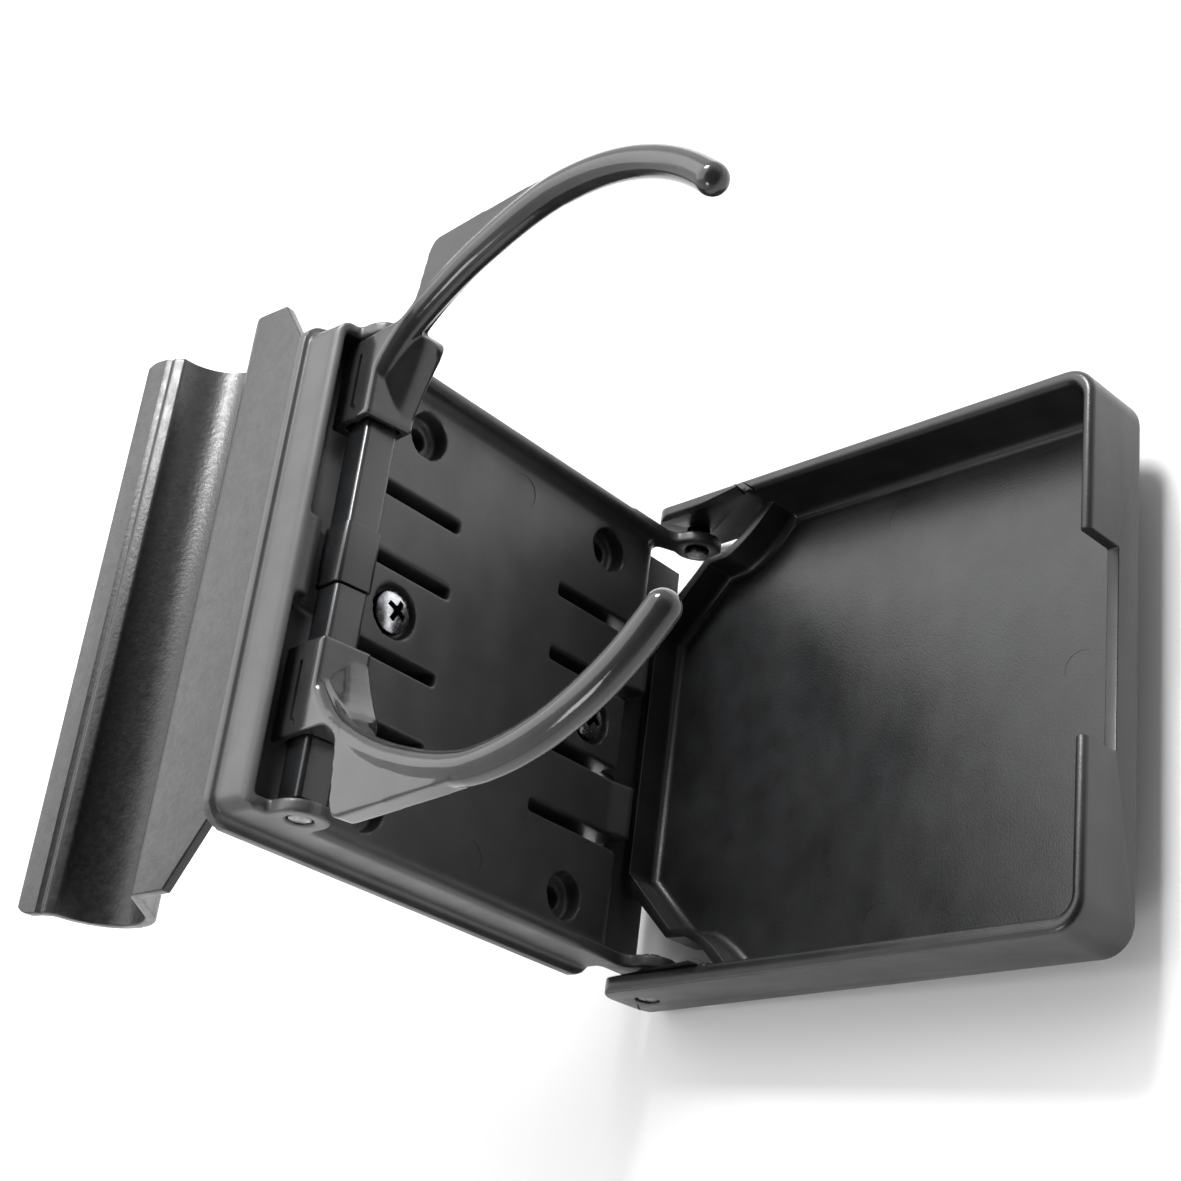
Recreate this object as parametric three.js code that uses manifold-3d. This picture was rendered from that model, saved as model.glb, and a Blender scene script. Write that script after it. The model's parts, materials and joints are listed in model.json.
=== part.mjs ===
// A folding two-arm holder with a base tray, screwed to a sheet-metal hook-on bracket.
// Millimetres. +X is the holder's width, -Y is its front and +Z is up.
// The frame's origin is the middle of the bracket's vertical back face.
//
// Most pieces are laid out in the holder's own coordinates: the back plate's front face is
// y = 0 and the open tray's floor meets that face at z = 0. The last group moves them all.

import * as THREE from 'three';
import { mergeVertices } from 'three/addons/utils/BufferGeometryUtils.js';
import Module from 'manifold-3d';

const wasm = await Module();
wasm.setup();

// ---- driving dimensions ----------------------------------------------------------------

const gap = 0.3;                      // play between pieces that touch on the real object
const past = 5;                       // how far a cutter runs beyond the face it opens

const plateHalfWidth = 46.6;          // outer faces of the plate's side walls
const plateWall = 2.5;                // side wall thickness
const plateBottom = 11;
const plateTop = 106.5;
const plateThickness = 7.2;           // from the front face back to the bracket
const plateRim = 3.9;                 // how far the side walls stand forward
const plateTopWall = 4.5;
const flangeHalfWidth = 48.5;
const flangeTop = 107.5;
const flangeThickness = 2;
const flangeCorner = 5;

const barAxisForward = 6.2;           // the arms' cross bar, in front of the plate
const barAxisHeight = 97.2;
const armsRaised = THREE.MathUtils.degToRad(7.3);
const barHalf = 3.3;                  // half of the square bar's side
const barHalfLength = 43.8;
const barCorner = 0.7;
const sleeveHalf = 3.7;
const sleeveInner = 5;                // the sleeve runs from X = -5 to X = 6.4
const sleeveOuter = 6.4;
const spigotHalf = 2;
const spigotLength = 8;

const blockHalfWidth = 8.6;           // an arm's sliding block
const blockBack = 6.1;
const blockFront = 5.2;
const blockHalfHeight = 5;
const tunnelHalf = barHalf + gap;
const shellTop = 2;
const webBottom = -0.8;               // the flat web between the block and the finger
const webSlope = 0.1;                 // its top falls away outward
const armLeftCentre = -24.7;
const armRightCentre = barHalfLength - blockHalfWidth;
const fingerRadius = 3;
const fingerAside = 21.8;             // finger axis, outward from the block's centre
const fingerStart = 24;
const fingerStraightEnd = 46;
const fingerBendRadius = 55.1;
const fingerBendAngle = THREE.MathUtils.degToRad(44.5);
const fingerHeight = 1.2;

const trayRaised = THREE.MathUtils.degToRad(4);
const trayHalfWidth = 51.9;
const trayWall = 3;
const trayFront = 107.3;
const trayFrontWall = 2.4;
const trayBack = 0.5;                 // side walls' rear end, behind the plate's front face
const trayRearWallBack = 2.2;
const trayFloor = 2.4;
const trayHeight = 13.9;              // rim above the floor's top
const trayRearHeight = 7.4;
const trayLipHeight = 4.8;
const trayTabInner = 18.9;            // the front lip is low between the two tabs
const trayCorner = 6;
const trayHingeForward = 6.3;
const trayHingeHeight = 5.5;

const earRadius = 5;
const pinRadius = 2.1;
const pinHole = pinRadius + gap;

const sheet = 2;                      // bracket sheet thickness
const bracketHalfWidth = 45.6;
const bracketEndHalfWidth = 57.6;
const bracketBottom = 15;
const bracketTop = 103.6;
const bracketRidge = 27;
const troughCentre = new THREE.Vector2(42, 100.5);
const troughInner = 9.5;
const lipCrease = new THREE.Vector2(55.1, 102.9);
const lipEnd = new THREE.Vector2(60, 103.7);

const screwHeights = [79.65, 25.3];
const screwRecessRadius = 5.2;
const screwRecessDepth = 2.2;
const screwHeadRadius = 4.2;
const screwHeadHeight = 2.6;
const screwRadius = 2;

const bracketFront = plateThickness + gap;
const bracketBack = bracketFront + sheet;
const frameHeight = 52.5;             // the origin's height above the tray's floor line
const screwSeat = screwRecessDepth - gap;
const screwLength = bracketBack - gap - screwSeat;      // its end stays inside the tapped sheet

// ---- solids ----------------------------------------------------------------------------

// Three ways to stand an outline up: seen from above, from the front and from the side.
const axisX = new THREE.Vector3(1, 0, 0);
const axisY = new THREE.Vector3(0, 1, 0);
const axisZ = new THREE.Vector3(0, 0, 1);
const fromAbove = new THREE.Matrix4().makeBasis(axisX, axisY, axisZ);
const fromFront = new THREE.Matrix4().makeBasis(axisX, axisZ, axisY.clone().negate());
const fromSide = new THREE.Matrix4().makeBasis(axisY, axisZ, axisX);

function toSolid(geometry) {
  const bare = geometry.clone();
  bare.deleteAttribute('normal');
  bare.deleteAttribute('uv');
  const merged = mergeVertices(bare, 1e-4);
  const corners = merged.index.array;
  const triangles = [];
  for (let i = 0; i < corners.length; i += 3) {
    const [a, b, c] = [corners[i], corners[i + 1], corners[i + 2]];
    if (a !== b && b !== c && c !== a) {
      triangles.push(a, b, c);
    }
  }
  return new wasm.Manifold(new wasm.Mesh({
    numProp: 3,
    vertProperties: Float32Array.from(merged.attributes.position.array),
    triVerts: Uint32Array.from(triangles),
  }));
}

function toGeometry(solid) {
  const mesh = solid.getMesh();
  const geometry = new THREE.BufferGeometry();
  geometry.setAttribute('position', new THREE.BufferAttribute(mesh.vertProperties, 3));
  geometry.setIndex(new THREE.BufferAttribute(mesh.triVerts, 1));
  return geometry;
}

// The outline runs from start to end along the view's depth: up, forward or to +X.
function prism(outline, view, start, end, curveSegments = 8) {
  const options = { depth: end - start, bevelEnabled: false, curveSegments };
  const geometry = new THREE.ExtrudeGeometry(outline, options);
  geometry.translate(0, 0, start);
  return toSolid(geometry.applyMatrix4(view));
}

function mirrored(geometry) {
  const copy = geometry.clone().scale(-1, 1, 1);
  const corners = copy.index.array;
  for (let i = 0; i < corners.length; i += 3) {
    [corners[i], corners[i + 1]] = [corners[i + 1], corners[i]];
  }
  return copy;
}

function outlineOf(points) {
  return new THREE.Shape(points.map(([x, y]) => new THREE.Vector2(x, y)));
}

function rectangle(left, bottom, right, top) {
  return outlineOf([[left, bottom], [right, bottom], [right, top], [left, top]]);
}

function roundedRectangle(left, bottom, right, top, radius) {
  const quarter = Math.PI / 2;
  const shape = new THREE.Shape();
  shape.absarc(right - radius, top - radius, radius, 0, quarter);
  shape.absarc(left + radius, top - radius, radius, quarter, 2 * quarter);
  shape.absarc(left + radius, bottom + radius, radius, 2 * quarter, 3 * quarter);
  shape.absarc(right - radius, bottom + radius, radius, 3 * quarter, 4 * quarter);
  return shape;
}

function disc(x, y, radius) {
  return new THREE.Shape().absarc(x, y, radius, 0, 2 * Math.PI);
}

// ---- back plate ------------------------------------------------------------------------

const slotWidth = 2.6;
const slotPlaces = [-22.44, -8.76, 8.76, 22.44];
const slotCorner = 0.35;
const upperSlot = { bottom: 67.5, top: 88 };
const lowerSlotTop = 39.05;
const bottomNotch = { halfWidth: 8, top: 16 };
const mountingHoles = { aside: 36.7, heights: [26.3, 78.8], radius: 2.2 };
const counterbore = { radius: 4.6, depth: 3.5 };
const pocketRadius = 8.3;
const pocketInner = 7.4;              // the plate stays whole behind the bar's middle
const faceRound = 4;                  // the face's lower edge curves back this far
const footBottom = -0.8;              // the back runs down behind the tray's rear wall
const topRound = 3;                   // the top wall's front edge
const catches = { middle: 15.6, halfWidth: 6, top: 17, forward: 1.4 };

// Tray hinge axis in holder coordinates, with the tray at its resting tilt.
const trayHingeY = -trayHingeForward * Math.cos(trayRaised) + trayHingeHeight * Math.sin(trayRaised);
const trayHingeZ = trayHingeForward * Math.sin(trayRaised) + trayHingeHeight * Math.cos(trayRaised);

function backPlate() {
  const wallInner = plateHalfWidth - plateWall;
  const body = roundedRectangle(-plateHalfWidth, plateBottom, plateHalfWidth, plateTop, 3);
  const flange = roundedRectangle(-flangeHalfWidth, plateBottom, flangeHalfWidth, flangeTop, flangeCorner);
  const inside = rectangle(-wallInner, plateBottom - past, wallInner, plateTop - plateTopWall);
  let plate = prism(body, fromFront, -plateThickness, plateRim);
  plate = plate.add(prism(flange, fromFront, -plateThickness, flangeThickness - plateThickness));
  plate = plate.subtract(prism(inside, fromFront, 0, plateRim + past));

  // The top wall's front edge and the face's lower edge are rounded back.
  const roundY = topRound - plateRim;
  const aboveTop = new THREE.Shape();
  aboveTop.absarc(roundY, plateTop - topRound, topRound, Math.PI / 2, Math.PI);
  aboveTop.lineTo(-plateRim - past, plateTop - topRound);
  aboveTop.lineTo(-plateRim - past, plateTop + past);
  aboveTop.lineTo(roundY, plateTop + past);
  plate = plate.subtract(prism(aboveTop, fromSide, -plateHalfWidth - past, plateHalfWidth + past));
  const belowFace = new THREE.Shape();
  belowFace.absarc(faceRound, plateBottom + faceRound, faceRound, Math.PI, 1.5 * Math.PI);
  belowFace.lineTo(faceRound, plateBottom - past);
  belowFace.lineTo(-past, plateBottom - past);
  belowFace.lineTo(-past, plateBottom + faceRound);
  plate = plate.subtract(prism(belowFace, fromSide, -wallInner, wallInner));

  // The two tabs between the lower slots end in catches that slope forward.
  const slope = new THREE.Shape();
  slope.moveTo(faceRound, catches.top);
  slope.lineTo(0, catches.top);
  slope.lineTo(-catches.forward, plateBottom + 1.4);
  slope.quadraticCurveTo(-catches.forward, plateBottom, 0, plateBottom);
  slope.lineTo(faceRound, plateBottom);
  for (const middle of [-catches.middle, catches.middle]) {
    plate = plate.add(prism(slope, fromSide, middle - catches.halfWidth, middle + catches.halfWidth, 4));
  }

  const upperEar = roundedRectangle(
    -barAxisForward - earRadius, barAxisHeight - earRadius, earRadius, barAxisHeight + earRadius, 4.9);
  const lowerEar = new THREE.Shape();
  lowerEar.moveTo(1, plateBottom + 1);
  lowerEar.lineTo(1, 24);
  lowerEar.lineTo(-plateRim, 24);
  lowerEar.lineTo(-plateRim, plateBottom + 1.5);
  lowerEar.absarc(trayHingeY, trayHingeZ, earRadius, 0.53 * Math.PI, 2.1 * Math.PI);
  for (const outer of [plateHalfWidth, -wallInner]) {
    plate = plate.add(prism(upperEar, fromSide, outer - plateWall, outer));
    plate = plate.add(prism(lowerEar, fromSide, outer - plateWall, outer));
  }

  const pocket = disc(-barAxisForward, barAxisHeight, pocketRadius);
  plate = plate.subtract(prism(pocket, fromSide, pocketInner, wallInner, 16));
  plate = plate.subtract(prism(pocket, fromSide, -wallInner, -pocketInner, 16));
  for (const [y, z] of [[-barAxisForward, barAxisHeight], [trayHingeY, trayHingeZ]]) {
    const hole = disc(y, z, pinHole);
    plate = plate.subtract(prism(hole, fromSide, -plateHalfWidth - past, plateHalfWidth + past, 6));
  }

  const front = plateRim + past;
  const back = -plateThickness - past;
  for (const x of slotPlaces) {
    const half = slotWidth / 2;
    const upper = roundedRectangle(x - half, upperSlot.bottom, x + half, upperSlot.top, slotCorner);
    const lower = roundedRectangle(x - half, plateBottom - past, x + half, lowerSlotTop, slotCorner);
    plate = plate.subtract(prism(upper, fromFront, back, front, 4));
    plate = plate.subtract(prism(lower, fromFront, back, front, 4));
  }
  const notch = rectangle(-bottomNotch.halfWidth, plateBottom - past, bottomNotch.halfWidth, bottomNotch.top);
  plate = plate.subtract(prism(notch, fromFront, -faceRound, front));
  const foot = rectangle(-wallInner, footBottom, wallInner, plateBottom + 1);
  plate = plate.add(prism(foot, fromFront, -plateThickness, -faceRound));
  for (const side of [-1, 1]) {
    for (const z of mountingHoles.heights) {
      const x = side * mountingHoles.aside;
      plate = plate.subtract(prism(disc(x, z, mountingHoles.radius), fromFront, back, front, 5));
      plate = plate.subtract(prism(disc(x, z, counterbore.radius), fromFront, -counterbore.depth, front));
    }
  }
  for (const z of screwHeights) {
    plate = plate.subtract(prism(disc(0, z, screwRadius + gap), fromFront, back, front, 5));
    plate = plate.subtract(prism(disc(0, z, screwRecessRadius), fromFront, -screwRecessDepth, front));
  }
  return toGeometry(plate);
}

// ---- hook-on bracket -------------------------------------------------------------------

// One bent sheet, cut to its outline: a vertical flange, a shelf, a half-round trough and a lip.
function hookBracket() {
  const troughOuter = troughInner + sheet;
  const ridge = new THREE.Vector2(bracketRidge, bracketTop);
  const toCentre = troughCentre.clone().sub(ridge);
  const slope = toCentre.angle() - Math.asin(troughInner / toCentre.length());
  const entry = slope - Math.PI / 2;                    // where the slope meets the trough
  const exit = THREE.MathUtils.degToRad(4);             // where the trough meets the lip
  const lip = lipEnd.clone().sub(lipCrease).normalize();
  const under = new THREE.Vector2(lip.y, -lip.x).multiplyScalar(sheet);

  const profile = new THREE.Shape();
  profile.moveTo(bracketFront, bracketBottom);
  profile.lineTo(bracketBack, bracketBottom);
  profile.lineTo(bracketBack, bracketTop - sheet);
  profile.lineTo(bracketRidge - sheet * Math.tan((2 * Math.PI - slope) / 2), bracketTop - sheet);
  profile.absarc(troughCentre.x, troughCentre.y, troughOuter, entry, 2 * Math.PI - exit);
  profile.lineTo(lipCrease.x + under.x, lipCrease.y + under.y);
  profile.lineTo(lipEnd.x + under.x, lipEnd.y + under.y);
  profile.lineTo(lipEnd.x, lipEnd.y);
  profile.lineTo(lipCrease.x, lipCrease.y);
  profile.lineTo(troughCentre.x + troughInner + 1.2, troughCentre.y + 1.9);
  profile.absarc(troughCentre.x, troughCentre.y, troughInner, exit, entry - 2 * Math.PI, true);
  profile.lineTo(ridge.x, ridge.y);
  profile.lineTo(bracketFront + 1, bracketTop);
  profile.lineTo(bracketFront, bracketTop - 1);
  const bent = prism(profile, fromSide, -bracketEndHalfWidth, bracketEndHalfWidth, 20);

  const end = bracketEndHalfWidth;
  const cutFront = 9.5;
  const cutBack = 18.2;
  const lipCorner = 4;
  const lipBack = lipEnd.x + 1;
  const plan = new THREE.Shape();
  plan.moveTo(-bracketHalfWidth, bracketFront - past);
  plan.lineTo(bracketHalfWidth, bracketFront - past);
  plan.lineTo(bracketHalfWidth, cutFront);
  plan.lineTo(end, cutBack);
  plan.absarc(end - lipCorner, lipBack - lipCorner, lipCorner, 0, Math.PI / 2);
  plan.absarc(-end + lipCorner, lipBack - lipCorner, lipCorner, Math.PI / 2, Math.PI);
  plan.lineTo(-end, cutBack);
  plan.lineTo(-bracketHalfWidth, cutFront);
  let bracket = bent.intersect(prism(plan, fromAbove, 0, 200));
  for (const z of screwHeights) {
    const hole = disc(0, z, screwRadius + gap);
    bracket = bracket.subtract(prism(hole, fromFront, -bracketBack - past, -bracketFront + past, 6));
  }
  return toGeometry(bracket);
}

// ---- tray ------------------------------------------------------------------------------

// Tray coordinates: x, then y = minus the distance forward, then z above the floor's top.
function tray() {
  const inner = trayHalfWidth - trayWall;
  const outline = new THREE.Shape();
  outline.moveTo(trayHalfWidth, trayBack);
  outline.lineTo(inner, trayBack);
  outline.lineTo(inner, -25.5);
  outline.quadraticCurveTo(43, -21, 40.9, -16);
  outline.lineTo(40.6, -11.1);
  outline.lineTo(27.7, trayRearWallBack);
  outline.lineTo(-27.7, trayRearWallBack);
  outline.lineTo(-40.6, -11.1);
  outline.lineTo(-40.9, -16);
  outline.quadraticCurveTo(-43, -21, -inner, -25.5);
  outline.lineTo(-inner, trayBack);
  outline.lineTo(-trayHalfWidth, trayBack);
  outline.lineTo(-trayHalfWidth, -trayFront);
  outline.lineTo(trayHalfWidth, -trayFront);
  let body = prism(outline, fromAbove, -trayFloor, trayHeight);

  // The outer edges: upright corners rounded in plan, and the bottom edge rounded all round.
  const edge = 1.6;
  const rear = 40;
  const envelope = roundedRectangle(
    -trayHalfWidth, -trayFront, trayHalfWidth, rear, trayCorner);
  const rounded = new THREE.ExtrudeGeometry(envelope, {
    depth: 60, curveSegments: 6, bevelSegments: 3, bevelThickness: edge, bevelSize: edge, bevelOffset: -edge,
  });
  rounded.translate(0, 0, edge - trayFloor);
  body = body.intersect(toSolid(rounded));

  const cavity = new THREE.Shape();
  cavity.moveTo(26, 0.6);
  cavity.lineTo(-26, 0.6);
  cavity.lineTo(-38.9, -12);
  cavity.lineTo(-39.2, -16.7);
  cavity.quadraticCurveTo(-41.9, -23, -inner, -28.5);
  cavity.absarc(-inner + 3.5, -trayFront + trayFrontWall + 3.5, 3.5, Math.PI, 1.5 * Math.PI);
  cavity.absarc(inner - 3.5, -trayFront + trayFrontWall + 3.5, 3.5, 1.5 * Math.PI, 2 * Math.PI);
  cavity.lineTo(inner, -28.5);
  cavity.quadraticCurveTo(41.9, -23, 39.2, -16.7);
  cavity.lineTo(38.9, -12);
  body = body.subtract(prism(cavity, fromAbove, 0, trayHeight + past, 5));

  const aboveRear = rectangle(-inner, -28.5, inner, past);
  body = body.subtract(prism(aboveRear, fromAbove, trayRearHeight, trayHeight + past));
  const aboveLip = rectangle(-trayTabInner, -trayFront - past, trayTabInner, -trayFront + trayCorner);
  body = body.subtract(prism(aboveLip, fromAbove, trayLipHeight, trayHeight + past));

  // The side walls' rear ends are rounded, seen from the side.
  const round = 6;
  const behind = new THREE.Shape();
  behind.moveTo(trayBack - round, trayHeight + past);
  behind.absarc(trayBack - round, trayHeight - round, round, Math.PI / 2, 0, true);
  behind.lineTo(trayBack + past, trayHeight - round);
  behind.lineTo(trayBack + past, trayHeight + past);
  body = body.subtract(prism(behind, fromSide, -trayHalfWidth - past, trayHalfWidth + past, 5));

  const hole = disc(-trayHingeForward, trayHingeHeight, pinHole);
  body = body.subtract(prism(hole, fromSide, inner - 0.5, trayHalfWidth + past, 6));
  body = body.subtract(prism(hole, fromSide, -trayHalfWidth - past, -inner + 0.5, 6));
  return toGeometry(body);
}

// ---- arms and their cross bar ----------------------------------------------------------

// Bar coordinates: the bar's axis is the X axis, y is minus the distance forward.
function squareBar(half, start, end) {
  return prism(roundedRectangle(-half, -half, half, half, barCorner), fromSide, start, end, 2);
}

function endBore(start, end) {
  return prism(disc(0, 0, pinHole), fromSide, start, end, 6);
}

const boreDepth = 3.6;

function barHalfRight() {
  let bar = squareBar(barHalf, -sleeveInner, barHalfLength);
  bar = bar.add(squareBar(sleeveHalf, -sleeveInner, sleeveOuter));
  bar = bar.subtract(squareBar(spigotHalf + gap, -sleeveInner - past, spigotLength - sleeveInner + 1));
  bar = bar.subtract(endBore(barHalfLength - boreDepth, barHalfLength + past));
  return toGeometry(bar);
}

function barHalfLeft() {
  const inner = -sleeveInner - gap;
  let bar = squareBar(barHalf, -barHalfLength, inner);
  bar = bar.add(squareBar(spigotHalf, inner - past, inner + spigotLength));
  bar = bar.subtract(endBore(-barHalfLength - past, -barHalfLength + boreDepth));
  return toGeometry(bar);
}

// The finger's axis: straight forward, then bending back towards the middle.
class FingerAxis extends THREE.Curve {
  getPoint(t, target = new THREE.Vector3()) {
    const straight = fingerStraightEnd - fingerStart;
    const along = t * (straight + fingerBendRadius * fingerBendAngle);
    if (along <= straight) {
      return target.set(fingerAside, -fingerStart - along, fingerHeight);
    }
    const angle = (along - straight) / fingerBendRadius;
    const aside = fingerAside - fingerBendRadius * (1 - Math.cos(angle));
    return target.set(aside, -fingerStraightEnd - fingerBendRadius * Math.sin(angle), fingerHeight);
  }
}

// An arm that reaches out to +X. Its block slides on the bar through a square tunnel, and a
// curved shell in front of the block flows into the finger, with a flat web outside it.
function armBody() {
  const block = new THREE.Shape();
  block.moveTo(blockBack, -blockHalfHeight);
  block.lineTo(blockBack, blockHalfHeight);
  block.lineTo(-1, blockHalfHeight);
  block.quadraticCurveTo(-blockFront, blockHalfHeight, -blockFront, 0);
  block.lineTo(-blockFront + 1, -blockHalfHeight);
  let arm = prism(block, fromSide, -blockHalfWidth, blockHalfWidth, 4);

  const shell = new THREE.Shape();
  shell.moveTo(-blockHalfWidth, 0);
  shell.lineTo(-blockHalfWidth, -4.2);
  shell.quadraticCurveTo(-2, -6, 4.5, -10.1);
  shell.quadraticCurveTo(blockHalfWidth, -12, blockHalfWidth, -8);
  shell.lineTo(blockHalfWidth, 0);
  arm = arm.add(prism(shell, fromAbove, -blockHalfHeight, shellTop, 5));

  const web = new THREE.Shape();
  web.moveTo(-blockHalfWidth, 0);
  web.lineTo(0, -4);
  web.quadraticCurveTo(8, -9, 12.5, -18.2);
  web.lineTo(16, -25.6);
  web.lineTo(19.2, -38);
  web.lineTo(24.4, -38);
  web.lineTo(24.9, -16);
  web.absarc(22.3, -15.8, 2.6, 0, Math.PI / 2);
  web.absarc(12.6, -9.2, 4, 1.5 * Math.PI, Math.PI, true);
  web.lineTo(blockHalfWidth, 0);
  const aboveSlope = outlineOf([
    [blockHalfWidth, blockHalfHeight], [60, blockHalfHeight - (60 - blockHalfWidth) * webSlope],
    [60, 60], [blockHalfWidth, 60],
  ]);
  const sloped = prism(web, fromAbove, webBottom, blockHalfHeight, 6)
    .subtract(prism(aboveSlope, fromFront, -past, 60));
  arm = arm.add(sloped);

  const finger = new THREE.ExtrudeGeometry(disc(0, 0, fingerRadius), {
    extrudePath: new FingerAxis(), steps: 20, curveSegments: 8, bevelEnabled: false,
  });
  const tip = new THREE.SphereGeometry(fingerRadius, 16, 10);
  tip.translate(...new FingerAxis().getPoint(1).toArray());
  arm = arm.add(toSolid(finger)).add(toSolid(tip));
  const tunnel = rectangle(-tunnelHalf, -tunnelHalf, tunnelHalf, tunnelHalf);
  return toGeometry(arm.subtract(prism(tunnel, fromSide, -blockHalfWidth - past, blockHalfWidth + past)));
}

// The shallow corner-shaped groove on top of both blocks points the same way on each.
function cutMark(geometry) {
  const depth = 0.7;
  const mark = outlineOf([[5.2, 0.1], [5.2, 0.9], [-5.5, 0.9], [-7, -0.6], [-6.4, -1.2], [-5.1, 0.1]]);
  const cutter = prism(mark, fromAbove, blockHalfHeight - depth, blockHalfHeight + past);
  return toGeometry(toSolid(geometry).subtract(cutter));
}

// ---- fasteners -------------------------------------------------------------------------

function pin(start, end) {
  const cylinder = new THREE.CylinderGeometry(pinRadius, pinRadius, end - start, 24);
  cylinder.rotateZ(-Math.PI / 2);
  cylinder.translate((start + end) / 2, 0, 0);
  return cylinder;
}

// A pan-head machine screw with its head's underside at the origin and its head forward.
function screw() {
  const profile = [
    [0, -screwLength], [screwRadius - 0.4, -screwLength], [screwRadius, 0.6 - screwLength],
    [screwRadius, 0], [screwHeadRadius, 0], [screwHeadRadius, 1], [screwHeadRadius - 0.5, 1.9],
    [screwHeadRadius - 1.6, screwHeadHeight], [0, screwHeadHeight],
  ];
  const turned = new THREE.LatheGeometry(profile.map(([r, y]) => new THREE.Vector2(r, y)), 24);
  let solid = toSolid(turned.rotateX(Math.PI));
  const cross = { halfLength: 2.3, halfWidth: 0.55, depth: 1.5 };
  const arm = rectangle(-cross.halfLength, -cross.halfWidth, cross.halfLength, cross.halfWidth);
  const other = rectangle(-cross.halfWidth, -cross.halfLength, cross.halfWidth, cross.halfLength);
  for (const slot of [arm, other]) {
    solid = solid.subtract(prism(slot, fromFront, screwHeadHeight - cross.depth, screwHeadHeight + past));
  }
  return toGeometry(solid);
}

// ---- the assembly ----------------------------------------------------------------------

const blackPlastic = new THREE.MeshStandardMaterial({ color: 0x17181a, roughness: 0.35, metalness: 0 });
const powderCoat = new THREE.MeshStandardMaterial({ color: 0x1b1c1e, roughness: 0.5, metalness: 0.3 });
const brightSteel = new THREE.MeshStandardMaterial({ color: 0xb9bcc0, roughness: 0.25, metalness: 1 });

function piece(name, geometry, material, position = [0, 0, 0]) {
  const mesh = new THREE.Mesh(geometry, material);
  mesh.name = name;
  mesh.position.set(...position);
  return mesh;
}

const bar = new THREE.Group();
bar.position.set(0, -barAxisForward, barAxisHeight);
bar.rotation.x = -armsRaised;
const pinInner = barHalfLength - boreDepth + gap;
const pinOuter = plateHalfWidth - gap;
const arm = armBody();
bar.add(
  piece('bar_half_right', barHalfRight(), blackPlastic),
  piece('bar_half_left', barHalfLeft(), blackPlastic),
  piece('bar_pin_right', pin(pinInner, pinOuter), brightSteel),
  piece('bar_pin_left', pin(-pinOuter, -pinInner), brightSteel),
  piece('arm_right', cutMark(arm), blackPlastic, [armRightCentre, 0, 0]),
  piece('arm_left', cutMark(mirrored(arm)), blackPlastic, [armLeftCentre, 0, 0]),
);

const trayGroup = new THREE.Group();
trayGroup.rotation.x = -trayRaised;
const trayPin = [0, -trayHingeForward, trayHingeHeight];
const trayPinInner = plateHalfWidth - plateWall - 3 * gap;
const trayPinOuter = trayHalfWidth - gap;
trayGroup.add(
  piece('tray', tray(), blackPlastic),
  piece('tray_pin_right', pin(trayPinInner, trayPinOuter), brightSteel, trayPin),
  piece('tray_pin_left', pin(-trayPinOuter, -trayPinInner), brightSteel, trayPin),
);

const holder = new THREE.Group();
holder.position.set(0, -bracketBack, -frameHeight);
holder.add(
  bar,
  trayGroup,
  piece('back_plate', backPlate(), blackPlastic),
  piece('hook_bracket', hookBracket(), powderCoat),
);
['upper', 'lower'].forEach((place, i) => {
  holder.add(piece(`screw_${place}`, screw(), brightSteel, [0, screwSeat, screwHeights[i]]));
});

const object = new THREE.Group();
object.add(holder);

export default object;
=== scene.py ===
"""Looks for the folding two-arm holder on its hook-on bracket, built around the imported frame.

Meshes are laid out in millimetres in the holder's own coordinates, where the back plate's front
face is y = 0 and the open tray's floor meets it at z = 0, and placed in the frame in metres.
"""

import json
import math

import bmesh
import bpy
from mathutils import Matrix, Vector


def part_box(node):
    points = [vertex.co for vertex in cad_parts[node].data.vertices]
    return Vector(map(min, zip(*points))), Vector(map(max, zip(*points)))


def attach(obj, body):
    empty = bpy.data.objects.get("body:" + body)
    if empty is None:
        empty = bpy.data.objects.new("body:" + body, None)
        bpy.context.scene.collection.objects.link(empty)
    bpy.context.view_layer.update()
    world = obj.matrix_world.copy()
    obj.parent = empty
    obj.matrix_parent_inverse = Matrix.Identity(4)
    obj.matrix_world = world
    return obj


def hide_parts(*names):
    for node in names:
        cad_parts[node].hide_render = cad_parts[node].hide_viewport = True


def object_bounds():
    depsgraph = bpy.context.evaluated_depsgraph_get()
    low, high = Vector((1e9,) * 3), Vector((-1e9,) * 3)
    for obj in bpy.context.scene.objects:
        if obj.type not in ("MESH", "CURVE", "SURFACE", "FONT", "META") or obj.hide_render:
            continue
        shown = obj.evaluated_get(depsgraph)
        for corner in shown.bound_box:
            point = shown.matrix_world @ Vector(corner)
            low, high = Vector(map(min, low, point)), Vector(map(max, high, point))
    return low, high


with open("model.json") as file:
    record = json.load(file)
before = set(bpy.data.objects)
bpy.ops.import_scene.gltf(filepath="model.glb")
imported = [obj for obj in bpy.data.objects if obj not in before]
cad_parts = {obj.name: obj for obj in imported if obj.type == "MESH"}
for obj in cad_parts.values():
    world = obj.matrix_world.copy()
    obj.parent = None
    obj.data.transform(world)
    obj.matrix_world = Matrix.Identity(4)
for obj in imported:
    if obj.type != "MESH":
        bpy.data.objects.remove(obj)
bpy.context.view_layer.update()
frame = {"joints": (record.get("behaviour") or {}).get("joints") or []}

# ---- places taken from the frame ---------------------------------------------------------------

MM = 0.001
PLATE_THICKNESS = 7.2
FLANGE_TOP = 107.5
ARMS_RAISED = math.radians(7.3)
TRAY_RAISED = math.radians(4)


def placed(location, tilt):
    """Millimetres in a tilted local frame to metres in the row frame."""
    return Matrix.Translation(location) @ Matrix.Rotation(-tilt, 4, "X") @ Matrix.Scale(MM, 4)


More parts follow.
